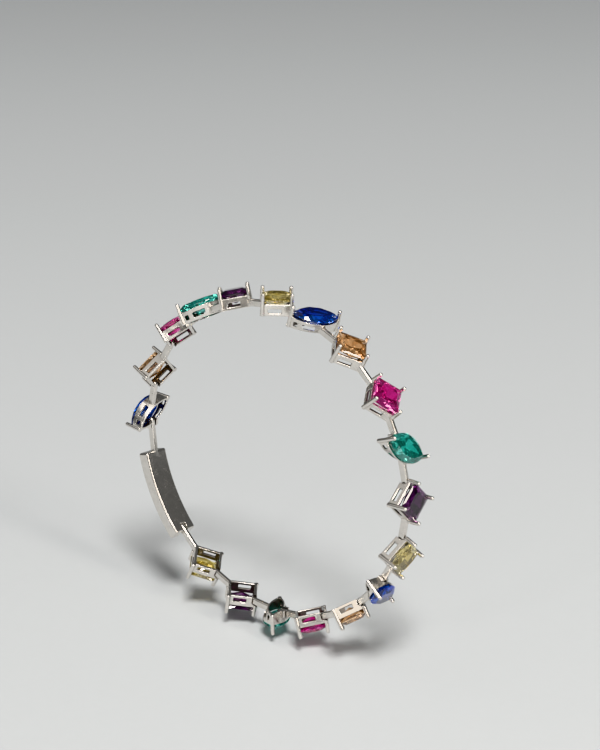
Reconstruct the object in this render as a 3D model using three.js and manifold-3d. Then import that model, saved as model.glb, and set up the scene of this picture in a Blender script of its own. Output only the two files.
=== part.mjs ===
// Station bracelet: eighteen prong-set stones on hinged bar links, closed by a plain clasp.
// Millimetres, +Z up. The loop lies in the XZ plane, round the wrist axis, which is Y, and its
// centre is the origin. Each station has a frame of its own: x along the chain, y along the
// wrist axis and z outwards, with z = 0 at the foot of the gallery, on the wrist.
import * as THREE from "three";
import { ConvexGeometry } from "three/addons/geometries/ConvexGeometry.js";
import { mergeVertices } from "three/addons/utils/BufferGeometryUtils.js";
import Module from "manifold-3d";

const wasm = await Module();
wasm.setup();

// ---- Driving dimensions ----

// The loop is worn slightly oval. Arc lengths run from +X towards +Z, and the chain runs back.
const LOOP = { halfWidth: 28.8, halfHeight: 26.2, firstStationArc: 84.5 };
const PITCH = { squareToSquare: 9.25, besideMarquise: 8.05 };

// The colours repeat three times, and the chain leaves the clasp at the blue marquise.
const SEQUENCE = [
  { colour: "blue", cut: "marquise", shade: 0x1230b0 },
  { colour: "orange", cut: "square", shade: 0xe8853f },
  { colour: "pink", cut: "square", shade: 0xd81f86 },
  { colour: "green", cut: "marquise", shade: 0x0f8f78 },
  { colour: "purple", cut: "square", shade: 0x4a2350 },
  { colour: "yellow", cut: "square", shade: 0xe0c860 },
];
const STATION_COUNT = 18;

const WALL = 0.45;
const PRONG = { footRadius: 0.38, tipRadius: 0.33, tipHeight: 3.5, lean: 0.1, sides: 8 };
const SEAT_GAP = 0.04; // between a stone and the notches that its prongs hold it in
const FAR = 4; // how far a slot's cutter reaches past the metal
const FINEST = 0.004; // the cuts leave no detail smaller than this

const SQUARE = {
  halfSide: 2.5,
  railTop: 1.95,
  prongOffset: 3.45,
  chainProngFoot: 1.3, // the two prongs over the chain start above the bar
  // Along each wall, as shares of its length from the corner on the wrist axis.
  window: { from: 0.16, to: 0.66, bottom: 0.45, top: 1.2 },
  pinOffset: 2.75,
  barRoot: 2.75,
};
const SQUARE_STONE = {
  halfSide: 2.45,
  cutCorner: 3.25, // the corners are cut off at this distance from the centre, in the prongs
  tableHalfSide: 1.5,
  pavilionHalfSide: 1.85,
  height: { culet: 0.75, pavilion: 1.9, girdle: 2.6, girdleTop: 2.72, table: 3.25 },
};

const MARQUISE = {
  halfLength: 4.1,
  halfWidth: 2.35,
  footScale: 0.58, // the basket narrows to this share of its width at its foot
  slant: 0.6, // radians, from the wrist axis towards the chain
  railTop: 2.0,
  prongOffset: 4.05,
  // Along each wall, as shares of the basket's length from one of its points.
  windows: [
    { from: 0.08, to: 0.155, bottom: 0.5, top: 1.3 },
    { from: 0.24, to: 0.5, bottom: 0.5, top: 1.3 },
  ],
  pinOffset: 1.45,
  barRoot: 1.7,
  segments: 8, // in each of the outline's two arcs
};
const MARQUISE_STONE = {
  halfLength: 3.85,
  halfWidth: 2.3,
  tableScale: 0.62,
  pavilionScale: 0.78,
  segments: { pavilion: 6, girdle: 8, table: 4 }, // in each of the outline's two arcs
  height: { culet: 0.85, pavilion: 2.0, girdle: 2.4, girdleTop: 2.5, table: 3.2 },
};

const BAR = { width: 0.85, height: 1.25, edge: 0.14, eyeHole: 0.34, sides: 8 };
const HINGE = {
  height: 0.8, // of the pin over the wrist
  pinRadius: 0.2,
  pinSides: 6,
  slotWidth: 1.15,
  clearRadius: 0.75, // round the pin, for the eye
  slotTop: 1.55,
  knuckle: { width: 2.05, out: 1.3, in: 0.3, bottom: 0.12, top: 1.25 },
};
const CLASP = {
  halfLength: 7.6,
  halfWidth: 2.3,
  bottom: 0.1,
  top: 2.4,
  edge: 0.35,
  hingeInset: 0.9, // of the pin and the bar's root from the ends
  segments: 6,
};

const silver = new THREE.MeshStandardMaterial({ color: 0xd9dbdc, roughness: 0.16, metalness: 1 });

// ---- Solids ----

function solid(geometry) {
  const plain = geometry.clone();
  plain.deleteAttribute("normal");
  plain.deleteAttribute("uv");
  const merged = mergeVertices(plain, 1e-4);
  return new wasm.Manifold(
    new wasm.Mesh({
      numProp: 3,
      vertProperties: merged.attributes.position.array,
      triVerts: new Uint32Array(merged.index.array),
    }),
  );
}

function join(solids) {
  return solids.reduce((whole, piece) => whole.add(piece));
}

function geometryOf(body) {
  const mesh = body.asOriginal().simplify(FINEST).getMesh();
  const geometry = new THREE.BufferGeometry();
  geometry.setAttribute("position", new THREE.BufferAttribute(mesh.vertProperties, 3));
  geometry.setIndex(new THREE.BufferAttribute(mesh.triVerts, 1));
  geometry.computeVertexNormals();
  return geometry;
}

function box(from, to) {
  const size = to.map((value, axis) => value - from[axis]);
  const middle = to.map((value, axis) => (value + from[axis]) / 2);
  return solid(new THREE.BoxGeometry(...size).translate(...middle));
}

// An upright prism, with a hole if one is given, narrowed across its y to `footScale` at z = 0.
function prism(outline, height, hole, footScale = 1) {
  const shape = new THREE.Shape(outline);
  if (hole) shape.holes.push(new THREE.Path(hole));
  const block = new THREE.ExtrudeGeometry(shape, { depth: height, bevelEnabled: false });
  const points = block.attributes.position;
  for (let k = 0; k < points.count; k++) {
    const scale = THREE.MathUtils.lerp(footScale, 1, points.getZ(k) / height);
    points.setY(k, points.getY(k) * scale);
  }
  return solid(block);
}

// A tapered post with a round top, at `offset` in the plan direction `angle`, leaning in.
function prong(angle, offset, foot) {
  const { footRadius, tipRadius, tipHeight, lean, sides } = PRONG;
  const shoulder = tipRadius * Math.SQRT1_2;
  const profile = [
    [0, foot],
    [THREE.MathUtils.lerp(footRadius, tipRadius, foot / tipHeight), foot],
    [tipRadius, tipHeight],
    [shoulder, tipHeight + shoulder],
    [0, tipHeight + tipRadius],
  ];
  const post = new THREE.LatheGeometry(profile.map(([r, h]) => new THREE.Vector2(r, h)), sides);
  post.rotateX(Math.PI / 2);
  post.rotateY(-lean / tipHeight);
  post.translate(offset, 0, 0);
  post.rotateZ(angle);
  return solid(post);
}

// ---- Outlines in plan ----

// A square standing on its corner, the first corner at +x.
function squareOutline(halfSide) {
  const corner = new THREE.Vector2(halfSide * Math.SQRT2, 0);
  return [0, 1, 2, 3].map((k) => corner.clone().rotateAround(new THREE.Vector2(), (k * Math.PI) / 2));
}

// Half the width of a boat shape of two equal arcs, at `x` from its middle.
function boatHalfWidth(x, halfLength, halfWidth) {
  const radius = (halfLength ** 2 + halfWidth ** 2) / (2 * halfWidth);
  return Math.sqrt(radius ** 2 - x ** 2) - (radius - halfWidth);
}

// The boat's outline, with its points at +x and -x.
function boatOutline(halfLength, halfWidth, segments) {
  const points = [];
  for (const side of [1, -1]) {
    for (let k = 0; k < segments; k++) {
      const x = side * halfLength * Math.cos((Math.PI * k) / segments);
      points.push(new THREE.Vector2(x, side * boatHalfWidth(x, halfLength, halfWidth)));
    }
  }
  return points;
}

// Points along an arc, both ends included.
function arcPoints(centreX, centreY, radius, from, to, segments) {
  return Array.from({ length: segments + 1 }, (_, k) => {
    const angle = from + ((to - from) * k) / segments;
    return new THREE.Vector2(centreX + radius * Math.cos(angle), centreY + radius * Math.sin(angle));
  });
}

// A block through the wall whose middle runs in plan from `start` to `end`.
function wallOpening(start, end, { bottom, top }) {
  const along = end.clone().sub(start);
  const block = new THREE.BoxGeometry(along.length(), 2 * WALL, top - bottom);
  block.rotateZ(along.angle());
  block.translate((start.x + end.x) / 2, (start.y + end.y) / 2, (bottom + top) / 2);
  return solid(block);
}

// ---- Stones ----

function ring(outline, height) {
  return outline.map((point) => new THREE.Vector3(point.x, point.y, height));
}

// The stone, or the room for it when it is `grown` on every side.
function squareStone(grown = 0) {
  const { halfSide, cutCorner, tableHalfSide, pavilionHalfSide, height } = SQUARE_STONE;
  const corner = cutCorner + grown;
  const across = (halfSide + grown) * Math.SQRT2 - corner;
  const girdle = [0, 1, 2, 3].flatMap((turns) =>
    [-across, across].map((y) =>
      new THREE.Vector2(corner, y).rotateAround(new THREE.Vector2(), (turns * Math.PI) / 2),
    ),
  );
  return new ConvexGeometry([
    new THREE.Vector3(0, 0, height.culet - grown),
    ...ring(squareOutline(pavilionHalfSide + grown), height.pavilion - grown),
    ...ring(girdle, height.girdle - grown),
    ...ring(girdle, height.girdleTop + grown),
    ...ring(squareOutline(tableHalfSide + grown), height.table + grown),
  ]);
}

function marquiseStone(grown = 0) {
  const { halfLength, halfWidth, tableScale, pavilionScale, segments, height } = MARQUISE_STONE;
  const outline = (scale, count) =>
    boatOutline(halfLength * scale + grown, halfWidth * scale + grown, count);
  const stone = new ConvexGeometry([
    new THREE.Vector3(0, 0, height.culet - grown),
    ...ring(outline(pavilionScale, segments.pavilion), height.pavilion - grown),
    ...ring(outline(1, segments.girdle), height.girdle - grown),
    ...ring(outline(1, segments.girdle), height.girdleTop + grown),
    ...ring(outline(tableScale, segments.table), height.table + grown),
  ]);
  return stone.rotateZ(Math.PI / 2 - MARQUISE.slant);
}

// ---- Heads: a pierced gallery with its prongs ----

function squareHead() {
  const outside = squareOutline(SQUARE.halfSide);
  const middle = squareOutline(SQUARE.halfSide - WALL / 2);
  const gallery = prism(outside, SQUARE.railTop, squareOutline(SQUARE.halfSide - WALL));
  const openings = [];
  for (const wristCorner of [1, 3]) {
    for (const chainCorner of [0, 2]) {
      const start = middle[wristCorner].clone().lerp(middle[chainCorner], SQUARE.window.from);
      const end = middle[wristCorner].clone().lerp(middle[chainCorner], SQUARE.window.to);
      openings.push(wallOpening(start, end, SQUARE.window));
    }
  }
  const prongs = [0, 1, 2, 3].map((corner) =>
    prong((corner * Math.PI) / 2, SQUARE.prongOffset, corner % 2 ? 0 : SQUARE.chainProngFoot),
  );
  return {
    body: join([gallery.subtract(join(openings)), ...prongs]).subtract(solid(squareStone(SEAT_GAP))),
    filled: prism(outside, SQUARE.railTop),
  };
}

function marquiseHead() {
  const { halfLength, halfWidth, footScale, railTop, segments, slant } = MARQUISE;
  const outside = boatOutline(halfLength, halfWidth, segments);
  const inside = boatOutline(halfLength - 1.5 * WALL, halfWidth - WALL, segments);
  const gallery = prism(outside, railTop, inside, footScale);
  const openings = [];
  for (const side of [1, -1]) {
    for (const window of MARQUISE.windows) {
      const height = (window.bottom + window.top) / 2;
      const narrowing = THREE.MathUtils.lerp(footScale, 1, height / railTop);
      const [start, end] = [window.from, window.to].map((part) => {
        const x = (2 * part - 1) * halfLength;
        const y = -narrowing * (boatHalfWidth(x, halfLength, halfWidth) - WALL / 2);
        return new THREE.Vector2(side * x, side * y);
      });
      openings.push(wallOpening(start, end, window));
    }
  }
  const prongs = [0, Math.PI].map((angle) => prong(angle, MARQUISE.prongOffset, 0));
  const turn = [0, 0, THREE.MathUtils.radToDeg(Math.PI / 2 - slant)];
  return {
    body: join([gallery.subtract(join(openings)), ...prongs])
      .rotate(turn)
      .subtract(solid(marquiseStone(SEAT_GAP))),
    filled: prism(outside, railTop, null, footScale).rotate(turn),
  };
}

// ---- Hinges and bars ----

// The cross pin of a hinge, at `x`, `z` in the frame of its own link.
function hingePin(x, z) {
  const length = (HINGE.slotWidth + HINGE.knuckle.width) / 2;
  const pin = new THREE.CylinderGeometry(HINGE.pinRadius, HINGE.pinRadius, length, HINGE.pinSides);
  return solid(pin.translate(x, 0, z));
}

// The head's arriving side: a knuckle inside the wall, slotted for the eye, with the cross pin.
function withHinge(head, pinOffset) {
  const { height, slotWidth, slotTop, clearRadius, knuckle } = HINGE;
  const block = box(
    [-pinOffset - knuckle.out, -knuckle.width / 2, knuckle.bottom],
    [-pinOffset + knuckle.in, knuckle.width / 2, knuckle.top],
  );
  const slot = box(
    [-pinOffset - FAR, -slotWidth / 2, -FAR],
    [-pinOffset + clearRadius, slotWidth / 2, slotTop],
  );
  const body = head.body.add(block.intersect(head.filled)).subtract(slot);
  return body.add(hingePin(-pinOffset, height));
}

// A bar with an eye at its far end, from `root` to `pin`, both [x, z] in the frame of its link.
function bar(root, pin) {
  const start = new THREE.Vector2(...root);
  const end = new THREE.Vector2(...pin);
  const length = end.distanceTo(start);
  const half = BAR.height / 2 - BAR.edge;
  const side = new THREE.Shape([
    new THREE.Vector2(0, -half),
    ...arcPoints(length, 0, half, -Math.PI / 2, Math.PI / 2, BAR.sides),
    new THREE.Vector2(0, half),
  ]);
  const hole = arcPoints(length, 0, BAR.eyeHole + BAR.edge, 0, 2 * Math.PI, BAR.sides);
  side.holes.push(new THREE.Path(hole.slice(1)));
  const body = new THREE.ExtrudeGeometry(side, {
    depth: BAR.width - 2 * BAR.edge,
    bevelSize: BAR.edge,
    bevelThickness: BAR.edge,
    bevelSegments: 1,
  });
  body.translate(0, 0, BAR.edge - BAR.width / 2);
  body.rotateX(Math.PI / 2); // the side view now stands in the xz plane
  body.rotateY(-end.clone().sub(start).angle());
  body.translate(start.x, 0, start.y);
  return solid(body);
}

// ---- The loop ----

const ellipse = new THREE.EllipseCurve(0, 0, LOOP.halfWidth, LOOP.halfHeight);
ellipse.arcLengthDivisions = 2000;
const loopLength = ellipse.getLength();

// The group that stands on the loop at an arc length, with its x along the chain.
function groupAt(arc) {
  const part = THREE.MathUtils.euclideanModulo(arc / loopLength, 1);
  const foot = ellipse.getPointAt(part);
  const tangent = ellipse.getTangentAt(part);
  const group = new THREE.Group();
  group.position.set(foot.x, 0, foot.y);
  group.rotation.y = Math.atan2(tangent.y, -tangent.x);
  group.updateMatrix();
  return group;
}

// A point given in the frame of one group, as [x, z] in the frame of another.
function carried(x, z, from, to) {
  const point = new THREE.Vector3(x, 0, z).applyMatrix4(from.matrix);
  point.applyMatrix4(to.matrix.clone().invert());
  return [point.x, point.z];
}

const CUTS = {
  square: { size: SQUARE, head: squareHead(), stone: squareStone() },
  marquise: { size: MARQUISE, head: marquiseHead(), stone: marquiseStone() },
};

function stations() {
  const list = [];
  let arc = LOOP.firstStationArc;
  for (let k = 0; k < STATION_COUNT; k++) {
    const design = SEQUENCE[k % SEQUENCE.length];
    const next = SEQUENCE[(k + 1) % SEQUENCE.length];
    const name = String(k + 1).padStart(2, "0") + "_" + design.colour;
    list.push({ name, arc, group: groupAt(arc), ...design, ...CUTS[design.cut] });
    const bothSquare = design.cut === "square" && next.cut === "square";
    arc -= bothSquare ? PITCH.squareToSquare : PITCH.besideMarquise;
  }
  return list;
}

// The closed box clasp, arched like the loop, forked at its arriving end.
function claspBody(pin, root, nextPin) {
  const { halfLength, halfWidth, bottom, top, edge, segments } = CLASP;
  const radius = (LOOP.halfWidth + LOOP.halfHeight) / 2;
  const reach = (halfLength - edge) / radius;
  const [right, left] = [Math.PI / 2 - reach, Math.PI / 2 + reach];
  const side = new THREE.Shape([
    ...arcPoints(0, -radius, radius + top - edge, right, left, segments),
    ...arcPoints(0, -radius, radius + bottom + edge, left, right, segments),
  ]);
  const block = new THREE.ExtrudeGeometry(side, {
    depth: 2 * (halfWidth - edge),
    bevelSize: edge,
    bevelThickness: edge,
    bevelSegments: 1,
  });
  block.translate(0, 0, -(halfWidth - edge));
  block.rotateX(Math.PI / 2);
  const slot = box(
    [pin[0] - FAR, -HINGE.slotWidth / 2, pin[1] - FAR],
    [pin[0] + HINGE.clearRadius, HINGE.slotWidth / 2, pin[1] + FAR],
  );
  return join([solid(block).subtract(slot), hingePin(...pin), bar(root, nextPin)]);
}

// ---- Assembly ----

const bracelet = new THREE.Group();
const chain = stations();
const [first, last] = [chain[0], chain[chain.length - 1]];
const claspArc = (first.arc + last.arc - loopLength) / 2;
const clasp = groupAt(claspArc);
const hingeArc = CLASP.halfLength - CLASP.hingeInset;
const claspPin = carried(0, HINGE.height, groupAt(claspArc + hingeArc), clasp);
const claspRoot = carried(0, HINGE.height, groupAt(claspArc - hingeArc), clasp);

function addMesh(group, name, geometry, material) {
  const mesh = new THREE.Mesh(geometry, material);
  mesh.name = name;
  group.add(mesh);
}

chain.forEach((station, k) => {
  const { group, size, head, stone, name, shade } = station;
  const next = chain[k + 1];
  const nextPin = next
    ? carried(-next.size.pinOffset, HINGE.height, next.group, group)
    : carried(...claspPin, clasp, group);
  const setting = withHinge(head, size.pinOffset).add(bar([size.barRoot, HINGE.height], nextPin));
  const gem = new THREE.MeshStandardMaterial({ color: shade, roughness: 0.05, metalness: 0 });
  addMesh(group, "setting_" + name, geometryOf(setting), silver);
  addMesh(group, "stone_" + name, stone, gem);
  bracelet.add(group);
});

const firstPin = carried(-first.size.pinOffset, HINGE.height, first.group, clasp);
addMesh(clasp, "clasp", geometryOf(claspBody(claspPin, claspRoot, firstPin)), silver);
bracelet.add(clasp);

export default bracelet;
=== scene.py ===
"""Station bracelet: eighteen prong-set stones on hinged bar links, in its worn loop.

The loop stands in the XZ plane, round the wrist axis, which is Y. Each station has a frame of its
own: x along the chain, y along the wrist axis and z outwards, with z = 0 on the wrist.
"""
import bisect
import random
from math import atan2, cos, pi, radians, sin, sqrt

import bmesh
import bpy
from bpy.props import FloatProperty, FloatVectorProperty, IntProperty, PointerProperty
from bpy.types import Operator, Panel, PropertyGroup
from mathutils import Matrix, Vector


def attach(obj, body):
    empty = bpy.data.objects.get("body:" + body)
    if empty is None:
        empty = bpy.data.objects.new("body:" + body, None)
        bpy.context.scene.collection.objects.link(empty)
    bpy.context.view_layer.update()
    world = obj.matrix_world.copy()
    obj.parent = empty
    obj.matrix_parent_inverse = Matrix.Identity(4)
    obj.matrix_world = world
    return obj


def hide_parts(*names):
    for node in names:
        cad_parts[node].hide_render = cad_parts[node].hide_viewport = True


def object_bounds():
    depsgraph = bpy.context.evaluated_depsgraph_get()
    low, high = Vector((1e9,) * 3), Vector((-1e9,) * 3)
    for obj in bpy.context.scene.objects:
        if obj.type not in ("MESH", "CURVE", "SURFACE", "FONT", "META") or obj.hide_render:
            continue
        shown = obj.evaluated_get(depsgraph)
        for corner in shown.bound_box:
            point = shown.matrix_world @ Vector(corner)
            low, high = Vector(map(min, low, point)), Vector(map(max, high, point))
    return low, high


bl_info = {
    "name": "Station bracelet",
    "version": (1, 0, 0),
    "blender": (4, 5, 0),
    "location": "View3D > Sidebar > Bracelet",
    "description": "Makes the settings, stones, clasp and studio of a station bracelet",
    "category": "Object",
}

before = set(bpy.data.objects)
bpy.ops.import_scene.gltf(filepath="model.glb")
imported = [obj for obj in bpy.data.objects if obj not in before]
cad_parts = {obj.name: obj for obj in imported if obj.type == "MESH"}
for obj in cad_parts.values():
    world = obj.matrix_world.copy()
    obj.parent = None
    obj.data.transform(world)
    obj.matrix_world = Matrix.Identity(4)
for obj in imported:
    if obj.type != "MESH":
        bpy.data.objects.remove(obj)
CAD_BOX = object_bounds()

MM = 0.001
FINEST = 0.001 * MM  # points closer than this are one point
STRAIGHT = radians(1)  # edges that turn by less than this run straight on
ON_PLANE = 1e-9  # points this close to a facet's plane lie on it
REACH = 4 * MM  # how far a cutter goes past the metal
COLUMN = 2 * MM  # up to this height a knuckle is trimmed to its head's outline
UNDER = 1 * MM  # how far a notch goes below the wrist, and a rough stone below its culet

# The stations' colours and cuts, which repeat, from the clasp on.
SEQUENCE = (
    ("blue", "marquise"),
    ("orange", "square"),
    ("pink", "square"),
    ("green", "marquise"),
    ("purple", "square"),
    ("yellow", "square"),
)
STATION_COUNT = 18

# The windows' ends are shares of the wall's length from the corner on the wrist axis, or of the
# boat's length from one of its points. Their heights are over the wrist.
SQUARE_WINDOW = {"along": (0.16, 0.66), "height": (0.45 * MM, 1.2 * MM)}
MARQUISE_WINDOWS = (
    {"along": (0.08, 0.155), "height": (0.5 * MM, 1.3 * MM)},
    {"along": (0.24, 0.5), "height": (0.5 * MM, 1.3 * MM)},
)
WINDOW_CORNER = 0.18  # the corners' radius, as a share of the window's height
POINT_WALL = 1.5  # the boat's wall at its points, in thicknesses of its sides
ROUND_END = 0.9  # how much of the inset at the clasp's ends comes off its corners' radius

# The square stone's pavilion: degrees from a side's middle, and how far under the culet a facet's
# slope meets the axis.
CHEVRONS = (
    {"turn": 38, "drop": 0},
    {"turn": 26, "drop": 0.15 * MM},
    {"turn": 12, "drop": 0.55 * MM},
)

# The square stone's crown. Its first step runs in by a share of the crown's height, and rises by
# a share of that run. The corner facets and the slanting ones, which are turned by degrees from
# a side's middle, end a number of half tables from the axis.
FIRST_STEP = {"run": 0.7, "rise": 0.75}
SECOND_STEP = {"run": 0.4 * MM, "rise": 0.2 * MM}
CORNER_END = 1.4
SLANT = {"turn": 16, "end": 1.09}
BEVEL = {"run": 0.1 * MM, "drop": 0.16 * MM}  # under the girdle, along the sides

# The marquise's facets: degrees from a side's middle, and how far outside the girdle they start.
# Crown facets run a share of the way to the table, and pavilion facets to a height over the culet.
MANY = (-54, -38, -23, -8, 8, 23, 38, 54)
SOME = (-46, -15, 15, 46)
FEW = (-31, 0, 31)
MARQUISE_CROWN = (
    {"turns": MANY, "out": 0, "share": 0.75},
    {"turns": SOME, "out": 0.03 * MM, "share": 0.9},
    {"turns": FEW, "out": 0.22 * MM, "share": 1.0},
)
MARQUISE_PAVILION = (
    {"turns": MANY, "out": 0, "height": -0.6 * MM},
    {"turns": SOME, "out": 0.05 * MM, "height": -0.12 * MM},
    {"turns": FEW, "out": 0.3 * MM, "height": 0},
)

# How light a facet is painted, from 0 to 1: a painted dark reflection on the level table, painted
# sparkle on the others.
TABLE_PAINTED_REFLECTION = 0.1
FACET_PAINTED_SPARKLE = (0.15, 1)
LEVEL = 0.99  # the least upward lean of a level facet's normal

WHITE = (1.0, 0.97, 0.93)
IVORY = (1.0, 0.95, 0.90)
CREAM = (1.0, 0.93, 0.84)
SAND = (1.0, 0.89, 0.76)
# The soft boxes: name, place and size in metres, power in watts, tint.
SOFT_LIGHTS = (
    ("key", (1.8, -1.48, 3.24), (1, 1), 240, WHITE),
    ("side", (0.6, -0.06, 0.25), (0.1, 0.4), 2, CREAM),
    ("front", (0.52, -0.74, 0.43), (0.45, 0.45), 0.8, SAND),
    ("rim", (0.53, -0.1, 0.36), (0.08, 0.08), 0.45, IVORY),
    ("low sparkle", (0.15, -0.85, 0.4), (0.12, 0.12), 0.8, IVORY),
    ("high sparkle", (0.62, -0.42, 0.8), (0.12, 0.12), 0.9, IVORY),
    ("left", (-0.38, -0.46, 0.78), (0.8, 0.8), 1, WHITE),
)


# ---- Sizes and colours ----


def amount(name, description, value, **kind):
    """A property that holds a number."""
    return FloatProperty(name=name, description=description, default=value, **kind)


def length(name, description, millimetres):
    """A property that holds a length."""
    kind = {"unit": "LENGTH", "subtype": "DISTANCE", "precision": 5}
    return amount(name, description, millimetres * MM, **kind)


def angle(name, description, degrees):
    """A property that holds an angle."""
    return amount(name, description, radians(degrees), subtype="ANGLE")


def share(name, description, value):
    """A property that holds a number from 0 to 1."""
    return amount(name, description, value, min=0, max=1, subtype="FACTOR")


def colour(name, description, value):
    """A property that holds a colour."""
    return FloatVectorProperty(
        name=name, description=description, default=value, size=3, min=0, max=1, subtype="COLOR"
    )


class ChainSizes(PropertyGroup):
    """The loop, the spacing of its stations and the bars and hinges between them."""

    loop_half_width: length("Loop half width", "From the wrist axis to the links, level", 28.8)
    loop_half_height: length("Loop half height", "From the wrist axis to the links, upright", 26.2)
    first_arc: length("First station", "Its arc length from +X towards +Z", 84.5)
    square_pitch: length("Square pitch", "Between two square stations", 9.25)
    marquise_pitch: length("Marquise pitch", "Between a marquise and a square", 8.05)
    bar_width: length("Bar width", "Along the wrist axis", 0.85)
    bar_height: length("Bar height", "Outwards from the wrist", 1.25)
    bar_edge: length("Bar edge", "Rounding of the bar's long edges", 0.3)
    eye_hole: length("Eye hole", "Radius of the hole in the bar's eye", 0.34)
    eye_edge: length("Eye edge", "Rounding of the hole's rim", 0.08)
    pin_height: length("Pin height", "Of the cross pin over the wrist", 0.8)
    pin_radius: length("Pin radius", "Of the cross pin", 0.2)
    pin_edge: length("Pin edge", "Rounding of the cross pin's ends", 0.05)
    pin_bite: length("Pin bite", "How far the pin goes into each wall", 0.08)
    slot_width: length("Slot width", "Of the notch that takes the eye", 1.15)
    slot_top: length("Slot top", "Top of the notch over the wrist", 1.55)
    slot_clearance: length("Slot clearance", "From the pin to the notch's end", 0.75)
    slot_reach: length("Slot reach", "From the pin away from the head", 3)
    knuckle_width: length("Knuckle width", "Of the block that holds the pin", 2.05)
    knuckle_back: length("Knuckle back", "From the pin away from the head", 1.3)
    knuckle_front: length("Knuckle front", "From the pin towards the head", 0.3)
    knuckle_bottom: length("Knuckle bottom", "Of the block over the wrist", 0.12)
    knuckle_top: length("Knuckle top", "Of the block over the wrist", 1.25)
    knuckle_edge: length("Knuckle edge", "Rounding of the block's corners", 0.12)


class HeadSizes(PropertyGroup):
    """The pierced galleries and their prongs."""

    wall: length("Wall", "Thickness of the gallery's walls", 0.45)
    edge: length("Edge", "Rounding of the gallery's edges", 0.09)
    square_half_side: length("Square half side", "Outside of the square gallery", 2.5)
    square_corner: length("Square corner", "Rounding of the gallery's outer corners", 0.25)
    square_inner_corner: length("Square inner corner", "Rounding of its inner corners", 0.12)
    square_rail_top: length("Square rail top", "Top of the square gallery", 1.95)
    square_prong: length("Square prong", "From the head's centre", 3.45)
    square_pin: length("Square pin", "From the head's centre", 2.75)
    square_bar_root: length("Square bar root", "From the head's centre", 2.75)
    chain_prong_foot: length("Chain prong foot", "Height of the prongs' feet over the chain", 1.3)
    marquise_half_length: length("Marquise half length", "Outside of the boat gallery", 4.1)
    marquise_half_width: length("Marquise half width", "Outside of the boat gallery", 2.35)
    marquise_foot: share("Marquise foot", "The boat gallery's width at its foot", 0.58)
    marquise_rail_top: length("Marquise rail top", "Top of the boat gallery", 2.0)
    marquise_prong: length("Marquise prong", "From the head's centre", 4.05)
    marquise_pin: length("Marquise pin", "From the head's centre", 1.45)
    marquise_bar_root: length("Marquise bar root", "From the head's centre", 1.7)
    marquise_slant: amount("Marquise slant", "From the wrist axis", 0.6, subtype="ANGLE")
    prong_foot: length("Prong foot", "Radius of the posts on the wrist", 0.38)
    prong_toe: length("Prong toe", "Rounding of the posts' feet", 0.12)
    prong_tip: length("Prong tip", "Radius of the posts' round tips", 0.33)
    prong_height: length("Prong height", "Of the round tips' centres", 3.5)
    prong_lean: length("Prong lean", "How far the tips lean in", 0.1)


class StoneSizes(PropertyGroup):
    """The square and marquise cuts."""

    seat_gap: length("Seat gap", "Between a stone and its prongs' notches", 0.02)
    square_half_side: length("Square half side", "Of the girdle", 2.46)
    square_corner: length("Square corner", "From the centre to the cut-off corners", 3.27)
    square_table: length("Square table", "Half the table's side", 1.5)
    square_culet: length("Square culet", "Height over the wrist", 0.75)
    square_girdle: length("Square girdle", "Height over the wrist", 2.6)
    square_top: length("Square top", "Height over the wrist", 3.25)
    marquise_half_length: length("Marquise half length", "Of the girdle", 3.87)
    marquise_half_width: length("Marquise half width", "Of the girdle", 2.31)
    marquise_table: share("Marquise table", "The table's share of the width", 0.62)
    marquise_culet: length("Marquise culet", "Height over the wrist", 0.85)
    marquise_girdle: length("Marquise girdle", "Height over the wrist", 2.4)
    marquise_top: length("Marquise top", "Height over the wrist", 3.2)
    girdle_band: length("Girdle band", "Thickness of the girdle", 0.11)


class ClaspSizes(PropertyGroup):
    """The closed box clasp."""

    half_length: length("Half length", "Along the chain", 7.6)
    half_width: length("Half width", "Along the wrist axis", 2.3)
    bottom: length("Bottom", "Of the box over the wrist", 0.1)
    top: length("Top", "Of the box over the wrist", 2.4)
    edge: length("Edge", "Rounding of the box's edges", 0.35)
    hinge_inset: length("Hinge inset", "From the box's ends to the pin and the bar", 0.9)


class Finishes(PropertyGroup):
    """Colours and polish."""

    silver: colour("Silver", "Polished rhodium-plated silver", (0.78, 0.745, 0.70))
    silver_dull: colour("Dull silver", "Where the polish has clouded", (0.56, 0.54, 0.51))
    # Partly real, partly painted shade: the galleries' rougher inside, its colour darkened far
    # below cast silver to paint the shade inside them.
    cast_silver_and_shade: colour("Cast silver", "The unpolished inside of the galleries", (0.17, 0.16, 0.15))
    polish: share("Polish", "The silver's lowest roughness", 0.17)
    worn_edge: length("Worn edge", "How far polishing has softened the edges", 0.05)
    blue: colour("Blue", "Of the blue marquises", (0.007, 0.08, 0.68))
    orange: colour("Orange", "Of the orange squares", (1.0, 0.58, 0.29))
    pink: colour("Pink", "Of the pink squares", (0.95, 0.07, 0.42))
    green: colour("Green", "Of the green marquises", (0.11, 0.82, 0.70))
    purple: colour("Purple", "Of the purple squares", (0.11, 0.022, 0.12))
    yellow: colour("Yellow", "Of the yellow squares", (1.0, 0.83, 0.30))
    refraction: amount("Refraction", "The stones' index of refraction", 1.85)


class StudioSizes(PropertyGroup):
    """The floor, the lights and the camera."""

    floor_gap: length("Floor gap", "From the floor to the bracelet's lowest point", 1.5)
    floor_side: length("Floor side", "Of the plain floor", 6000)
    floor: colour("Floor", "Colour of the plain floor", (0.42, 0.44, 0.455))
    sky: colour("Sky", "Colour of the soft light from all round", (0.60, 0.62, 0.63))
    sky_strength: amount("Sky strength", "Of the light from all round", 0.22)
    camera_azimuth: angle("Camera azimuth", "Round the upright axis, from -Y", 43.03)
    camera_elevation: angle("Camera elevation", "Above the level", 16.81)
    camera_distance: length("Camera distance", "From the middle of the view", 337.3)
    camera_right: length("Camera right", "The view's middle from the loop's, to the right", 4.84)
    camera_up: length("Camera up", "The view's middle from the loop's, upwards", 14.43)
    camera_lens: amount("Lens", "Focal length", 96, unit="CAMERA", precision=1)
    seed: IntProperty(name="Seed", description="Of the facets' tones", default=7)


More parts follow.
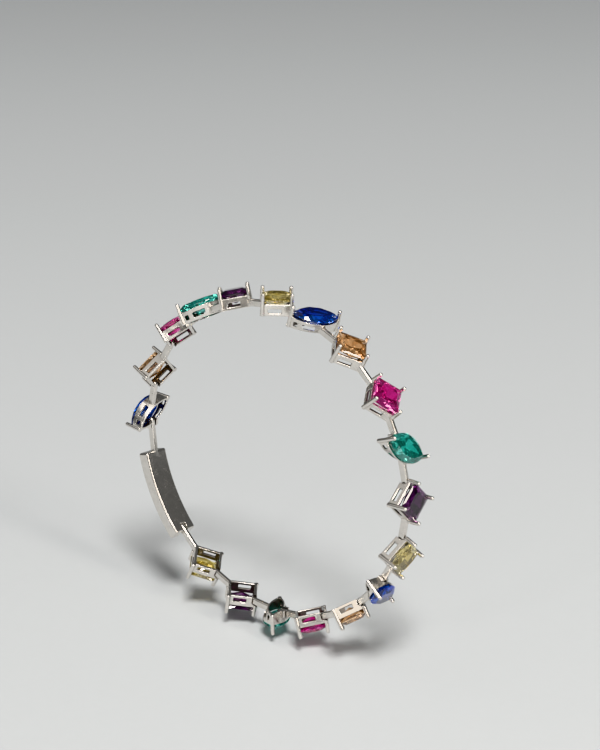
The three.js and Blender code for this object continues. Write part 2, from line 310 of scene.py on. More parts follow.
class BraceletSettings(PropertyGroup):
    """All sizes and colours of the bracelet."""

    chain: PointerProperty(type=ChainSizes)
    head: PointerProperty(type=HeadSizes)
    stone: PointerProperty(type=StoneSizes)
    clasp: PointerProperty(type=ClaspSizes)
    finish: PointerProperty(type=Finishes)
    studio: PointerProperty(type=StudioSizes)


# ---- The loop and its stations ----


class Loop:
    """The ellipse that the links lie on, measured by arc length from +X towards +Z."""

    DIVISIONS = 2000

    def __init__(self, half_width, half_height):
        turns = [2 * pi * k / self.DIVISIONS for k in range(self.DIVISIONS + 1)]
        self.half_width = half_width
        self.half_height = half_height
        self.lengths = [0]
        for near, far in zip(turns, turns[1:]):
            self.lengths.append(self.lengths[-1] + (self.point(far) - self.point(near)).length)
        self.length = self.lengths[-1]

    def point(self, turn):
        """The point at an angle of the ellipse."""
        return Vector((self.half_width * cos(turn), 0, self.half_height * sin(turn)))

    def station(self, arc):
        """The matrix of the station frame at an arc length."""
        wanted = arc % self.length
        passed = bisect.bisect_right(self.lengths, wanted) - 1
        start, end = self.lengths[passed : passed + 2]
        turn = 2 * pi * (passed + (wanted - start) / (end - start)) / self.DIVISIONS
        along = Vector((self.half_width * sin(turn), 0, -self.half_height * cos(turn)))
        along.normalize()
        across = Vector((0, 1, 0))
        out = along.cross(across)
        placed = Matrix((along, across, out)).transposed().to_4x4()
        placed.translation = self.point(turn)
        return placed


class Station:
    """One station's name, cut and frame."""

    def __init__(self, number, arc, loop):
        self.colour, self.cut = SEQUENCE[number % len(SEQUENCE)]
        self.name = f"{number + 1:02d}_{self.colour}"
        self.number = number
        self.arc = arc
        self.matrix = loop.station(arc)


def stations_of(chain):
    """The loop and its stations, in the order of the chain."""
    loop = Loop(chain.loop_half_width, chain.loop_half_height)
    arc = chain.first_arc
    found = []
    for number in range(STATION_COUNT):
        found.append(Station(number, arc, loop))
        cuts = {SEQUENCE[(number + step) % len(SEQUENCE)][1] for step in (0, 1)}
        arc -= chain.square_pitch if cuts == {"square"} else chain.marquise_pitch
    return loop, found


# ---- Mesh making ----


def mesh_from(work):
    """Turns a bmesh into a closed mesh that faces outwards."""
    bmesh.ops.recalc_face_normals(work, faces=work.faces)
    mesh = bpy.data.meshes.new("part")
    work.to_mesh(mesh)
    work.free()
    return mesh


def skinned(rings, closed=False):
    """Skins rings of the same number of points, with flat ends unless it closes on itself."""
    work = bmesh.new()
    rows = [[work.verts.new(point) for point in ring] for ring in rings]
    pairs = list(zip(rows, rows[1:]))
    if closed:
        pairs.append((rows[-1], rows[0]))
    for near, far in pairs:
        for k in range(len(near)):
            after = (k + 1) % len(near)
            work.faces.new((near[k], near[after], far[after], far[k]))
    if not closed:
        work.faces.new(reversed(rows[0]))
        work.faces.new(rows[-1])
    return work


def loft(rings, closed=False):
    """A closed mesh through rings."""
    return mesh_from(skinned(rings, closed))


def revolved(profile, sides):
    """Turns a profile of (radius, height) points round z, with small flat faces at its ends."""
    turns = [2 * pi * k / sides for k in range(sides)]
    rings = [[(r * cos(t), r * sin(t), z) for t in turns] for r, z in profile]
    return loft(rings)


def arc_points(centre, radius, start, end, steps):
    """Points in a plane along an arc, both ends included."""
    turns = [start + (end - start) * k / steps for k in range(steps + 1)]
    return [(centre[0] + radius * cos(t), centre[1] + radius * sin(t)) for t in turns]


def rounded_box_outline(low, high, radius):
    """A box in a plane with rounded corners, counterclockwise from its lower right corner."""
    quarter = pi / 2
    corners = (
        ((high[0] - radius, low[1] + radius), -quarter),
        ((high[0] - radius, high[1] - radius), 0),
        ((low[0] + radius, high[1] - radius), quarter),
        ((low[0] + radius, low[1] + radius), 2 * quarter),
    )
    points = []
    for centre, start in corners:
        points += arc_points(centre, radius, start, start + quarter, steps=3)
    return points


def moved(mesh, matrix):
    """Moves a mesh's points."""
    mesh.transform(matrix)
    return mesh


def shown(name, data):
    """A new object in the scene."""
    item = bpy.data.objects.new(name, data)
    bpy.context.scene.collection.objects.link(item)
    return item


def combined(body, *steps):
    """A closed mesh after steps of (operation, mesh): UNION, DIFFERENCE or INTERSECT."""
    meshes = [body, *(mesh for _, mesh in steps)]
    holders = [shown("part", mesh) for mesh in meshes]
    for (operation, _), tool in zip(steps, holders[1:]):
        modifier = holders[0].modifiers.new(operation, "BOOLEAN")
        modifier.solver = "MANIFOLD"
        modifier.operation = operation
        modifier.object = tool
    result = modified(holders[0])
    for holder, mesh in zip(holders, meshes):
        bpy.data.objects.remove(holder)
        bpy.data.meshes.remove(mesh)
    if not result.polygons:
        raise RuntimeError("a piece came out empty")
    return result


def modified(holder):
    """A mesh with its object's modifiers applied."""
    graph = bpy.context.evaluated_depsgraph_get()
    return bpy.data.meshes.new_from_object(holder.evaluated_get(graph))


def cleaned(mesh):
    """Takes out what cuts leave: points that are too close, or idle on straight edges."""
    work = bmesh.new()
    work.from_mesh(mesh)
    bmesh.ops.remove_doubles(work, verts=work.verts, dist=FINEST)
    bmesh.ops.dissolve_degenerate(work, edges=work.edges, dist=FINEST)
    idle = [vert for vert in work.verts if len(vert.link_edges) == 2]
    straight = [vert for vert in idle if vert.calc_edge_angle() < STRAIGHT]
    bmesh.ops.dissolve_verts(work, verts=straight)
    work.to_mesh(mesh)
    work.free()
    return mesh


def piece(name, mesh, placed, material, node):
    """A finished piece, shown in place of a CAD node."""
    mesh.name = name
    item = shown(name, moved(mesh, placed))
    mesh.materials.clear()
    mesh.materials.append(material)
    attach(item, "root")
    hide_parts(node)


def smooth(mesh, sharpest=35):
    """Smooth shading that keeps edges over an angle sharp, its normals led by the large faces."""
    mesh.shade_smooth()
    mesh.set_sharp_from_angle(angle=radians(sharpest))
    holder = shown("part", mesh)
    holder.modifiers.new("normals", "WEIGHTED_NORMAL").keep_sharp = True
    result = modified(holder)
    bpy.data.objects.remove(holder)
    bpy.data.meshes.remove(mesh)
    return result


# ---- Settings ----


def rounding(radius, steps=4):
    """A rounded edge as (depth, inset) pairs, from the surface inwards."""
    turns = [pi / 2 * k / steps for k in range(steps + 1)]
    return [(radius * (1 - cos(t)), radius * (1 - sin(t))) for t in turns]


def rounded_sides(half, radius, start=()):
    """A thickness with rounded edges, as (place, inset) pairs from one side to the other."""
    near = [*start, *((depth - half, inset) for depth, inset in rounding(radius))]
    return near + [(-place, inset) for place, inset in reversed(near)]


def prong(head, turn, offset, foot):
    """A tapered post with a round tip, at an offset in the direction of a turn, leaning in."""
    top = head.prong_height
    nearly_up = 0.47 * pi
    radius = head.prong_foot + (head.prong_tip - head.prong_foot) * foot / top
    profile = [(radius - inset, foot + depth) for depth, inset in rounding(head.prong_toe)]
    profile += arc_points((0, top), head.prong_tip, 0, nearly_up, steps=7)
    placed = (
        Matrix.Rotation(turn, 4, "Z")
        @ Matrix.Translation((offset, 0, 0))
        @ Matrix.Rotation(-head.prong_lean / top, 4, "Y")
    )
    return moved(revolved(profile, sides=20), placed)


def square_outline(half_side, radius):
    """A square on its corner, with rounded corners, counterclockwise."""
    turn = Matrix.Rotation(pi / 4, 2)
    box = rounded_box_outline((-half_side, -half_side), (half_side, half_side), radius)
    return [turn @ Vector(point) for point in box]


def boat_half_width(x, half_length, half_width):
    """Half the width of a boat shape of two equal arcs, at x from its middle."""
    radius = (half_length**2 + half_width**2) / (2 * half_width)
    return sqrt(max(radius**2 - x**2, 0)) - (radius - half_width)


def boat_outline(half_length, half_width, steps=28):
    """The boat shape, with its points at +x and -x, counterclockwise."""
    points = []
    for side in (1, -1):
        for k in range(steps):
            x = side * half_length * cos(pi * k / steps)
            points.append(Vector((x, side * boat_half_width(x, half_length, half_width))))
    return points


def narrowed(point, z, height, foot):
    """A point in plan at a height, with its y narrowed to a share at the foot."""
    return (point[0], (foot + (1 - foot) * z / height) * point[1], z)


def gallery(outside, inside, height, edge, foot=1):
    """A wall with rounded edges between two outlines in plan."""
    thickness = (outside[0] - inside[0]).length
    section = rounded_box_outline((0, 0), (thickness, height), edge)
    rings = []
    for near, far in zip(outside, inside):
        points = [(near.lerp(far, depth / thickness), z) for depth, z in section]
        rings.append([narrowed(point, z, height, foot) for point, z in points])
    return loft(rings, closed=True)


def upright(outline, bottom, top):
    """The whole space inside an outline in plan, from a height to another."""
    return loft([[(x, y, z) for x, y in outline] for z in (bottom, top)])


def window(start, end, bottom, top, wall, rim):
    """A cutter through a wall whose middle runs in plan from start to end, with a rounded rim."""
    width = (end - start).length
    along = ((end - start) / width).to_3d()
    through = along.cross(Vector((0, 0, 1)))
    origin = start.to_3d()
    corner = WINDOW_CORNER * (top - bottom)
    rings = []
    for depth, growth in rounded_sides(wall / 2, rim, start=[(-wall, rim)]):
        low = (-growth, bottom - growth)
        high = (width + growth, top + growth)
        outline = rounded_box_outline(low, high, corner + growth)
        rings.append([origin + along * x + through * depth + Vector((0, 0, z)) for x, z in outline])
    return loft(rings)


def inside_square(head, point):
    """Whether a point is within the square gallery, behind its polished outside, where the silver
    is rougher and darkened with painted shade.
    """
    depth = head.square_half_side - (abs(point.x) + abs(point.y)) / sqrt(2)
    return depth > head.edge and head.edge < point.z < head.square_rail_top - head.edge


def inside_boat(head, point):
    """Whether a point is within the boat gallery, behind its polished outside, where the silver is
    rougher and darkened with painted shade.
    """
    height = head.marquise_rail_top
    turned = Matrix.Rotation(head.marquise_slant - pi / 2, 3, "Z") @ point
    if abs(turned.x) > head.marquise_half_length or not head.edge < turned.z < height - head.edge:
        return False
    width = boat_half_width(turned.x, head.marquise_half_length, head.marquise_half_width)
    width = narrowed((0, width), turned.z, height, head.marquise_foot)[1]
    return width - abs(turned.y) > head.edge


def with_hinge(chain, pin_offset, outline):
    """The steps that add a knuckle, its notch for the eye and the cross pin to a head."""
    half = chain.knuckle_width / 2
    low = (-pin_offset - chain.knuckle_back, -half)
    high = (-pin_offset + chain.knuckle_front, half)
    plan = rounded_box_outline(low, high, chain.knuckle_edge)
    knuckle = upright(plan, chain.knuckle_bottom, chain.knuckle_top)
    knuckle = combined(knuckle, ("INTERSECT", upright(outline, 0, COLUMN)))
    half = chain.slot_width / 2
    arch = arc_points((0, chain.slot_top - half), half, 0, pi, steps=10)
    door = [(-half, -UNDER), (half, -UNDER), *arch]
    ends = (-pin_offset - chain.slot_reach, chain.slot_clearance - pin_offset)
    notch = loft([[(x, y, z) for y, z in door] for x in ends])
    pin = cross_pin(chain, (-pin_offset, chain.pin_height))
    return [("UNION", knuckle), ("DIFFERENCE", notch), ("UNION", pin)]


def cross_pin(chain, place):
    """A hinge's pin, at (x, z) in its link's frame."""
    sides = rounded_sides(chain.slot_width / 2 + chain.pin_bite, chain.pin_edge)
    pin = revolved([(chain.pin_radius - inset, y) for y, inset in sides], sides=16)
    turn = Matrix.Rotation(pi / 2, 4, "X")
    return moved(pin, Matrix.Translation((place[0], 0, place[1])) @ turn)


def seat(stone, girdle, gap, reach):
    """A cutter for the notches that hold a stone: the stone itself, a little larger."""
    grown = Matrix.Scale(1 + gap / reach, 4)
    middle = Matrix.Translation((0, 0, girdle))
    return moved(stone, middle @ grown @ middle.inverted())


def square_head(chain, head, size):
    """The pierced square gallery with its four notched prongs and its hinge."""
    half = head.square_half_side
    outside = square_outline(half, head.square_corner)
    inside = square_outline(half - head.wall, head.square_inner_corner)
    corner = (half - head.wall / 2) * sqrt(2)
    steps = []
    for wrist in (Vector((0, corner)), Vector((0, -corner))):
        for link in (Vector((corner, 0)), Vector((-corner, 0))):
            ends = [wrist.lerp(link, part) for part in SQUARE_WINDOW["along"]]
            hole = window(*ends, *SQUARE_WINDOW["height"], head.wall, head.edge)
            steps.append(("DIFFERENCE", hole))
    for k in range(4):
        foot = 0 if k % 2 else head.chain_prong_foot
        steps.append(("UNION", prong(head, k * pi / 2, head.square_prong, foot)))
    room = seat(square_stone(size), size.square_girdle, size.seat_gap, size.square_half_side)
    steps.append(("DIFFERENCE", room))
    steps += with_hinge(chain, head.square_pin, outside)
    return combined(gallery(outside, inside, head.square_rail_top, head.edge), *steps)


def marquise_head(chain, head, size):
    """The pierced boat gallery with its two notched prongs and its hinge."""
    halves = (head.marquise_half_length, head.marquise_half_width)
    height = head.marquise_rail_top
    foot = head.marquise_foot
    slant = Matrix.Rotation(pi / 2 - head.marquise_slant, 4, "Z")
    outside = boat_outline(*halves)
    inside = boat_outline(halves[0] - POINT_WALL * head.wall, halves[1] - head.wall)
    walls = gallery(outside, inside, height, head.edge, foot)
    steps = []
    for side in (1, -1):
        for row in MARQUISE_WINDOWS:
            middle = sum(row["height"]) / 2
            ends = []
            for part in row["along"]:
                x = (2 * part - 1) * halves[0]
                y = head.wall / 2 - boat_half_width(x, *halves)
                ends.append(Vector(narrowed((side * x, side * y), middle, height, foot)[:2]))
            hole = window(*ends, *row["height"], head.wall, head.edge)
            steps.append(("DIFFERENCE", hole))
        steps.append(("UNION", prong(head, (1 - side) * pi / 2, head.marquise_prong, 0)))
    body = moved(combined(walls, *steps), slant)
    turned = [(slant @ point.to_3d()).to_2d() for point in outside]
    stone = marquise_stone(size, head.marquise_slant)
    room = seat(stone, size.marquise_girdle, size.seat_gap, size.marquise_half_width)
    return combined(body, ("DIFFERENCE", room), *with_hinge(chain, head.marquise_pin, turned))


def bar(chain, root, pin):
    """A bar with an eye at its far end, from root to pin, both (x, z) in its link's frame."""
    root = Vector(root)
    pin = Vector(pin)
    reach = (pin - root).length
    half = chain.bar_width / 2
    rings = []
    for y, inset in rounded_sides(half, chain.bar_edge):
        radius = chain.bar_height / 2 - inset
        eye = arc_points((reach, 0), radius, -pi / 2, pi / 2, steps=12)
        rings.append([(x, y, z) for x, z in [(0, -radius), *eye, (0, radius)]])
    rims = rounded_sides(half, chain.eye_edge, start=[(-chain.bar_width, chain.eye_edge)])
    hole = revolved([(chain.eye_hole + growth, y) for y, growth in rims], sides=20)
    across = Matrix.Rotation(pi / 2, 4, "X")
    hole = moved(hole, Matrix.Translation((reach, 0, 0)) @ across)
    slope = atan2(pin.y - root.y, pin.x - root.x)
    placed = Matrix.Translation((root.x, 0, root.y)) @ Matrix.Rotation(-slope, 4, "Y")
    return moved(combined(loft(rings), ("DIFFERENCE", hole)), placed)


def clasp_box(chain, size, pin, root, next_pin):
    """The closed box, arched like the loop, forked at its arriving end, with its own bar."""
    radius = (chain.loop_half_width + chain.loop_half_height) / 2
    ends = rounded_sides(size.half_length, size.edge)
    halfway = len(ends) // 2
    body = [(part / 4 * (size.half_length - size.edge), 0) for part in range(-3, 4)]
    rings = []
    for place, inset in ends[:halfway] + body + ends[halfway:]:
        turn = Matrix.Translation((0, 0, -radius)) @ Matrix.Rotation(place / radius, 4, "Y")
        low = (inset - size.half_width, radius + size.bottom + inset)
        high = (size.half_width - inset, radius + size.top - inset)
        section = rounded_box_outline(low, high, size.edge - ROUND_END * inset)
        rings.append([turn @ Vector((0, y, z)) for y, z in section])
    start = pin[0] - REACH
    end = pin[0] + chain.slot_clearance
    half = chain.slot_width / 2
    fork = upright([(start, -half), (end, -half), (end, half), (start, half)], -REACH, REACH)
    return combined(
        loft(rings),
        ("DIFFERENCE", fork),
        ("UNION", cross_pin(chain, pin)),
        ("UNION", bar(chain, root, next_pin)),
    )


# ---- Stones ----


def facet(work, centre, turn, outer, inner):
    """Cuts a facet whose slope passes two (distance, height) points in the direction of a turn."""
    out = Vector((cos(turn), sin(turn), 0))
    place = Vector((*centre, 0)) + out * outer[0] + Vector((0, 0, outer[1]))
    fall = out * (inner[0] - outer[0]) + Vector((0, 0, inner[1] - outer[1]))
    normal = fall.cross(Vector((0, 0, 1)).cross(out)).normalized()
    if normal.dot(out) < 0:
        normal.negate()
    cut = bmesh.ops.bisect_plane(
        work,
        geom=[*work.verts, *work.edges, *work.faces],
        dist=ON_PLANE,
        plane_co=place,
        plane_no=normal,
        clear_outer=True,
    )
    rim = [item for item in cut["geom_cut"] if isinstance(item, bmesh.types.BMEdge)]
    if len(rim) > 2:
        bmesh.ops.contextual_create(work, geom=rim)


def rough_stone(outline, culet, table):
    """A bmesh to cut facets in, from under the culet to the table."""
    return skinned([[(x, y, z) for x, y in outline] for z in (culet - UNDER, table)])


def square_stone(size):
    """A princess cut on its corner: a stepped crown, and chevrons down to the culet."""
    half = size.square_half_side
    corner = size.square_corner
    girdle = size.square_girdle
    band_top = girdle + size.girdle_band
    top = size.square_top
    table = size.square_table
    cut = 2 * corner / sqrt(2) - half
    outline = [(half, -cut), (half, cut), (cut, half), (-cut, half)]
    outline += [(-x, -y) for x, y in outline]
    work = rough_stone(outline, size.square_culet, top)
    run = FIRST_STEP["run"] * (top - band_top)
    first_step = (half - run, band_top + FIRST_STEP["rise"] * run)
    second_step = (table + SECOND_STEP["run"], top - SECOND_STEP["rise"])
    corner_end = (CORNER_END * table, top)
    bevel = (half - BEVEL["run"], girdle - BEVEL["drop"])
    slanting = [(SLANT["turn"], band_top, (SLANT["end"] * table, top))]
    slanting += [(row["turn"], girdle, (0, size.square_culet - row["drop"])) for row in CHEVRONS]
    for k in range(4):
        side = k * pi / 2
        facet(work, (0, 0), side, (half, band_top), first_step)
        facet(work, (0, 0), side, second_step, (table, top))
        facet(work, (0, 0), side + pi / 4, (corner, band_top), corner_end)
        facet(work, (0, 0), side, (half, girdle), bevel)
        for lean in (-1, 1):
            for degrees, start, inner in slanting:
                turn = side + lean * radians(degrees)
                reach = corner * cos(radians(45 - degrees))
                facet(work, (0, 0), turn, (reach, start), inner)
    return moved(mesh_from(work), Matrix.Rotation(pi / 4, 4, "Z"))


def marquise_stone(size, slant):
    """A marquise brilliant: facets along both arcs, over and under the girdle."""
    half_length = size.marquise_half_length
    half_width = size.marquise_half_width
    girdle = size.marquise_girdle
    band_top = girdle + size.girdle_band
    top = size.marquise_top
    radius = (half_length**2 + half_width**2) / (2 * half_width)
    sink = radius - half_width
    outline = boat_outline(half_length, half_width, steps=20)
    work = rough_stone(outline, size.marquise_culet, top)
    table = (1 - size.marquise_table) * half_width
    for side in (1, -1):
        centre = (0, -side * sink)
        ahead = side * pi / 2
        for row in MARQUISE_CROWN:
            outer = (radius + row["out"], band_top)
            for turn in row["turns"]:
                inner = (radius - table * row["share"], top)
                facet(work, centre, ahead + radians(turn), outer, inner)
        for row in MARQUISE_PAVILION:
            outer = (radius + row["out"], girdle)
            for turn in row["turns"]:
                keel = sink * cos(radians(turn))
                inner = (keel, size.marquise_culet + row["height"])
                facet(work, centre, ahead + radians(turn), outer, inner)
    return moved(mesh_from(work), Matrix.Rotation(pi / 2 - slant, 4, "Z"))


def with_painted_sparkle(mesh, seed):
    """A copy of a cut stone, with painted sparkle on its facets and a painted dark reflection on
    its table.
    """
    copy = cleaned(mesh.copy())
    tones = random.Random(seed)
    layer = copy.attributes.new("painted_facet_sparkle", "FLOAT", "FACE")
    for face, entry in zip(copy.polygons, layer.data):
        # Painted light: the table is painted dark for a reflection, the other facets light or dark
        # at random for sparkle.
        level = face.normal.z > LEVEL
        entry.value = TABLE_PAINTED_REFLECTION if level else tones.uniform(*FACET_PAINTED_SPARKLE)
    return copy


def marked(mesh, name, holds):
    """Marks the faces whose middles pass a test, for the finish."""
    layer = mesh.attributes.new(name, "FLOAT", "FACE")
    layer.data.foreach_set("value", [float(holds(face.center)) for face in mesh.polygons])
    return mesh


# ---- Finishes ----


class Value:
    """A shader socket; arithmetic on it adds Math nodes."""

    def __init__(self, tree, socket):
        self.tree = tree
        self.socket = socket

    def math(self, operation, *inputs):
        """A Math node of this operation."""
        return self.tree.node("ShaderNodeMath", {"operation": operation}, dict(enumerate(inputs)))

    def __add__(self, other):
        return self.math("ADD", self, other)

    def __radd__(self, other):
        return self.math("ADD", other, self)

    def __mul__(self, other):
        return self.math("MULTIPLY", self, other)

    def __rmul__(self, other):
        return self.math("MULTIPLY", other, self)


class Shader:
    """A material's or a world's node tree."""

    def __init__(self, owner):
        owner.use_nodes = True
        self.tree = owner.node_tree
        self.tree.nodes.clear()

    def node(self, kind, settings=None, inputs=None, output=0):
        """Adds a node: its settings first, then the values or links of its sockets."""
        made = self.tree.nodes.new(kind)
        for name, setting in (settings or {}).items():
            setattr(made, name, setting)
        for name, value in (inputs or {}).items():
            if isinstance(value, Value):
                self.tree.links.new(value.socket, made.inputs[name])
            else:
                made.inputs[name].default_value = value
        return Value(self, made.outputs[output]) if made.outputs else None

    def noise(self, place, scale, detail=2, roughness=0.5):
        """Smooth noise from 0 to 1, its features 1 / scale wide."""
        inputs = {"Vector": place, "Scale": scale, "Detail": detail, "Roughness": roughness}
        return self.node("ShaderNodeTexNoise", {"noise_dimensions": "3D"}, inputs)

    def mix(self, factor, first, second):
        """A colour between two others."""
        inputs = {0: factor, 6: first, 7: second}
        return self.node("ShaderNodeMix", {"data_type": "RGBA"}, inputs, output=2)

    def ramp(self, value, start, end):
        """A value stretched from start..end to 0..1, and held there."""
        inputs = {"Value": value, "From Min": start, "From Max": end}
        return self.node("ShaderNodeMapRange", {"clamp": True}, inputs)

    def place(self):
        """The point in the object's own space."""
        return self.node("ShaderNodeTexCoord", output="Object")

    def attribute(self, name):
        """A value that each face has of its own."""
        return self.node("ShaderNodeAttribute", {"attribute_name": name}, output="Fac")

    def finish(self, surface, output="ShaderNodeOutputMaterial"):
        """Links the surface to the tree's output."""
        self.node(output, inputs={"Surface": surface})

    def principled(self, inputs):
        """A Principled surface, linked to the material's output."""
        self.finish(self.node("ShaderNodeBsdfPrincipled", inputs=inputs))


def opaque(tint):
    """A colour with its fourth channel."""
    return (*tint, 1)


def silver_finish(finish):
    """Polished silver: faint clouding, polishing lines, softened edges, and painted shade inside
    the galleries.
    """
    material = bpy.data.materials.new("polished silver")
    shader = Shader(material)
    place = shader.place()
    cloud = shader.ramp(shader.noise(place, 900, detail=4), 0.35, 0.75)
    stretched = shader.node(
        "ShaderNodeVectorMath", {"operation": "MULTIPLY"}, {0: place, 1: (1, 9, 1)}
    )
    lines = shader.noise(stretched, 5000, detail=3, roughness=0.7)
    ripple = shader.noise(place, 1600)
    edges = shader.node("ShaderNodeBevel", {"samples": 6}, {"Radius": finish.worn_edge})
    height = ripple + 0.12 * lines
    relief = {"Strength": 0.35, "Distance": 0.02 * MM, "Height": height, "Normal": edges}
    bump = shader.node("ShaderNodeBump", inputs=relief)
    # The galleries' inside is rougher, and its colour is darkened to paint the shade that falls
    # inside them.
    unpolished_and_shaded = shader.attribute("unpolished_and_shaded")
    polished = shader.mix(0.5 * cloud, opaque(finish.silver), opaque(finish.silver_dull))
    shader.principled(
        {
            "Base Color": shader.mix(unpolished_and_shaded, polished, opaque(finish.cast_silver_and_shade)),
            "Metallic": 1.0,
            "Roughness": finish.polish + 0.10 * cloud + 0.05 * lines + 0.22 * unpolished_and_shaded,
            "Normal": bump,
        }
    )
    return material


def stone_finish(name, finish):
    """A clear coloured stone, with painted sparkle and a painted dark table reflection facet by
    facet, and faint colour zones.
    """
    tint = getattr(finish, name)
    material = bpy.data.materials.new(f"{name} stone")
    shader = Shader(material)
    place = shader.place()
    # Painted light: each facet's painted sparkle or dark reflection picks the darker, the plain or
    # the brighter colour; the noise adds faint colour zones of the stone's own.
    tone = 0.85 * shader.attribute("painted_facet_sparkle") + 0.15 * shader.noise(place, 500)
    painted_dark = [0.6 * channel**1.4 for channel in tint]
    painted_bright = [channel**0.6 for channel in tint]
    shade = shader.mix(shader.ramp(tone, 0.3, 0.4), opaque(painted_dark), opaque(tint))
    base = shader.mix(shader.ramp(tone, 0.55, 0.65), shade, opaque(painted_bright))
    shader.principled(
        {
            "Base Color": base,
            "Roughness": 0.02 * shader.noise(place, 3000),
            "IOR": finish.refraction,
            "Transmission Weight": 0.95,
            "Specular IOR Level": 0.35,
        }
    )
    return material


def floor_finish(tint):
    """Plain matt board."""
    material = bpy.data.materials.new("pale floor")
    shader = Shader(material)
    grain = shader.noise(shader.place(), 900, detail=3)
    shade = [0.96 * channel for channel in tint]
    base = shader.mix(grain, opaque(shade), opaque(tint))
    shader.principled({"Base Color": base, "Roughness": 0.75 + 0.15 * grain})
    return material


# ---- Operators ----


def silver_of(finish):
    """The silver, made once."""
    return bpy.data.materials.get("polished silver") or silver_finish(finish)


def stone_of(name, finish):
    """The stones' material in a colour, made once."""
    return bpy.data.materials.get(f"{name} stone") or stone_finish(name, finish)


def pin_point(sizes, station):
    """A station's cross pin, in the scene."""
    head = sizes.head
    offset = head.square_pin if station.cut == "square" else head.marquise_pin
    return station.matrix @ Vector((-offset, 0, sizes.chain.pin_height))


def clasp_arc(loop, stations):
    """The arc length of the clasp's middle, between the last station and the first."""
    return (stations[0].arc + stations[-1].arc - loop.length) / 2


def clasp_point(sizes, loop, stations, side):
    """The clasp's pin or the root of its bar, in the scene."""
    reach = side * (sizes.clasp.half_length - sizes.clasp.hinge_inset)
    place = loop.station(clasp_arc(loop, stations) + reach)
    return place @ Vector((0, 0, sizes.chain.pin_height))


def make_settings(context, cut):
    """The settings of one cut, each with its outgoing bar."""
    sizes = context.scene.bracelet
    chain = sizes.chain
    head = sizes.head
    silver = silver_of(sizes.finish)
    loop, stations = stations_of(chain)
    if cut == "square":
        build, inside, root = square_head, inside_square, head.square_bar_root
    else:
        build, inside, root = marquise_head, inside_boat, head.marquise_bar_root
    pattern = build(chain, head, sizes.stone)
    for station, following in zip(stations, [*stations[1:], None]):
        if station.cut != cut:
            continue
        if following:
            target = pin_point(sizes, following)
        else:
            target = clasp_point(sizes, loop, stations, 1)
        pin = station.matrix.inverted() @ target
        link = bar(chain, (root, chain.pin_height), (pin.x, pin.z))
        mesh = smooth(cleaned(combined(pattern.copy(), ("UNION", link))))
        # Marks the galleries' inside, which is rougher and darkened with painted shade.
        marked(mesh, "unpolished_and_shaded", lambda point: inside(head, point))
        node = f"setting_{station.name}"
        piece(f"cast_{node}", mesh, station.matrix, silver, node)
    bpy.data.meshes.remove(pattern)


def make_stones(context, cut):
    """The stones of one cut."""
    sizes = context.scene.bracelet
    _, stations = stations_of(sizes.chain)
    if cut == "square":
        pattern = square_stone(sizes.stone)
    else:
        pattern = marquise_stone(sizes.stone, sizes.head.marquise_slant)
    for station in stations:
        if station.cut != cut:
            continue
        name = station.colour
        finish = stone_of(name, sizes.finish)
        mesh = with_painted_sparkle(pattern, sizes.studio.seed + station.number)
        node = f"stone_{station.name}"
        piece(f"cut_{node}", mesh, station.matrix, finish, node)
    bpy.data.meshes.remove(pattern)


class BRACELET_OT_square_settings(Operator):
    """Make the pierced square settings and their bars"""

    bl_idname = "bracelet.square_settings"
    bl_label = "Square settings"

    def execute(self, context):
        make_settings(context, "square")
        return {"FINISHED"}


class BRACELET_OT_marquise_settings(Operator):
    """Make the pierced boat settings and their bars"""

    bl_idname = "bracelet.marquise_settings"
    bl_label = "Marquise settings"

    def execute(self, context):
        make_settings(context, "marquise")
        return {"FINISHED"}


class BRACELET_OT_square_stones(Operator):
    """Cut the square stones"""

    bl_idname = "bracelet.square_stones"
    bl_label = "Square stones"

    def execute(self, context):
        make_stones(context, "square")
        return {"FINISHED"}


class BRACELET_OT_marquise_stones(Operator):
    """Cut the marquise stones"""

    bl_idname = "bracelet.marquise_stones"
    bl_label = "Marquise stones"

    def execute(self, context):
        make_stones(context, "marquise")
        return {"FINISHED"}


class BRACELET_OT_clasp(Operator):
    """Make the closed clasp"""

    bl_idname = "bracelet.clasp"
    bl_label = "Clasp"

    def execute(self, context):
        sizes = context.scene.bracelet
        loop, stations = stations_of(sizes.chain)
        place = loop.station(clasp_arc(loop, stations))
        pin = clasp_point(sizes, loop, stations, 1)
        root = clasp_point(sizes, loop, stations, -1)
        hinges = [place.inverted() @ point for point in (pin, root, pin_point(sizes, stations[0]))]
        sides = [(point.x, point.z) for point in hinges]
        mesh = smooth(cleaned(clasp_box(sizes.chain, sizes.clasp, *sides)))
        piece("box_clasp", mesh, place, silver_of(sizes.finish), "clasp")
        return {"FINISHED"}


def soft_light(name, place, size, watts, tint):
    """A soft box that faces the loop's middle."""
    data = bpy.data.lights.new(name, "AREA")
    data.shape = "RECTANGLE"
    data.size, data.size_y = size
    data.energy = watts
    data.color = tint
    light = shown(name, data)
    light.location = place
    light.rotation_euler = Vector(place).to_track_quat("Z", "Y").to_euler()
    light.visible_camera = False


def make_floor(studio):
    """A plain level square under the bracelet."""
    half = studio.floor_side / 2
    z = CAD_BOX[0][2] - studio.floor_gap
    corners = [(-half, -half, z), (half, -half, z), (half, half, z), (-half, half, z)]
    mesh = bpy.data.meshes.new("floor")
    mesh.from_pydata(corners, [], [(0, 1, 2, 3)])
    mesh.materials.append(floor_finish(studio.floor))
    floor = shown("floor", mesh)


def make_sky(scene, studio):
    """Faint even light from all round."""
    scene.world = bpy.data.worlds.new("studio")
    shader = Shader(scene.world)
    sky = {"Color": opaque(studio.sky), "Strength": studio.sky_strength}
    shader.finish(shader.node("ShaderNodeBackground", inputs=sky), "ShaderNodeOutputWorld")


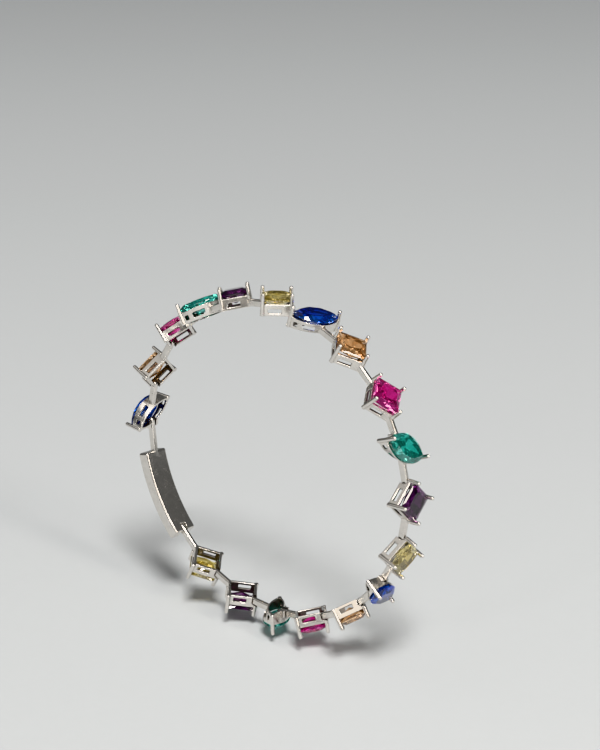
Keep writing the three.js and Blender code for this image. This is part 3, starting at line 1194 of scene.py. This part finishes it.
def make_camera(scene, studio):
    """A camera that looks at the middle of the view from its azimuth and elevation."""
    azimuth = studio.camera_azimuth
    elevation = studio.camera_elevation
    level = cos(elevation)
    back = Vector((sin(azimuth) * level, -cos(azimuth) * level, sin(elevation)))
    right = Vector((cos(azimuth), sin(azimuth), 0))
    up = back.cross(right)
    view = Matrix((right, up, back)).transposed().to_4x4()
    view.translation = (
        back * studio.camera_distance + right * studio.camera_right + up * studio.camera_up
    )
    data = bpy.data.cameras.new("camera")
    data.lens = studio.camera_lens
    data.clip_start = 0.01
    scene.camera = shown("camera", data)
    scene.camera.matrix_world = view


class BRACELET_OT_studio(Operator):
    """Make the plain floor, the soft lights and the camera"""

    bl_idname = "bracelet.studio"
    bl_label = "Studio"

    def execute(self, context):
        scene = context.scene
        studio = scene.bracelet.studio
        make_floor(studio)
        for row in SOFT_LIGHTS:
            soft_light(*row)
        make_sky(scene, studio)
        make_camera(scene, studio)
        scene.view_settings.view_transform = "Khronos PBR Neutral"
        return {"FINISHED"}


class BRACELET_PT_panel(Panel):
    """Lists the bracelet's operators"""

    bl_idname = "BRACELET_PT_panel"
    bl_label = "Station bracelet"
    bl_space_type = "VIEW_3D"
    bl_region_type = "UI"
    bl_category = "Bracelet"

    def draw(self, context):
        for operator in OPERATORS:
            self.layout.operator(operator.bl_idname)


OPERATORS = (
    BRACELET_OT_studio,
    BRACELET_OT_square_settings,
    BRACELET_OT_marquise_settings,
    BRACELET_OT_square_stones,
    BRACELET_OT_marquise_stones,
    BRACELET_OT_clasp,
)
GROUPS = (ChainSizes, HeadSizes, StoneSizes, ClaspSizes, Finishes, StudioSizes, BraceletSettings)
CLASSES = (*GROUPS, *OPERATORS, BRACELET_PT_panel)


def register():
    for item in CLASSES:
        bpy.utils.register_class(item)
    bpy.types.Scene.bracelet = PointerProperty(type=BraceletSettings)


def unregister():
    del bpy.types.Scene.bracelet
    for item in reversed(CLASSES):
        bpy.utils.unregister_class(item)


def main():
    """Makes the studio and the bracelet."""
    register()
    bpy.ops.bracelet.studio()
    bpy.ops.bracelet.square_settings()
    bpy.ops.bracelet.marquise_settings()
    bpy.ops.bracelet.square_stones()
    bpy.ops.bracelet.marquise_stones()
    bpy.ops.bracelet.clasp()


if __name__ == "__main__":
    main()
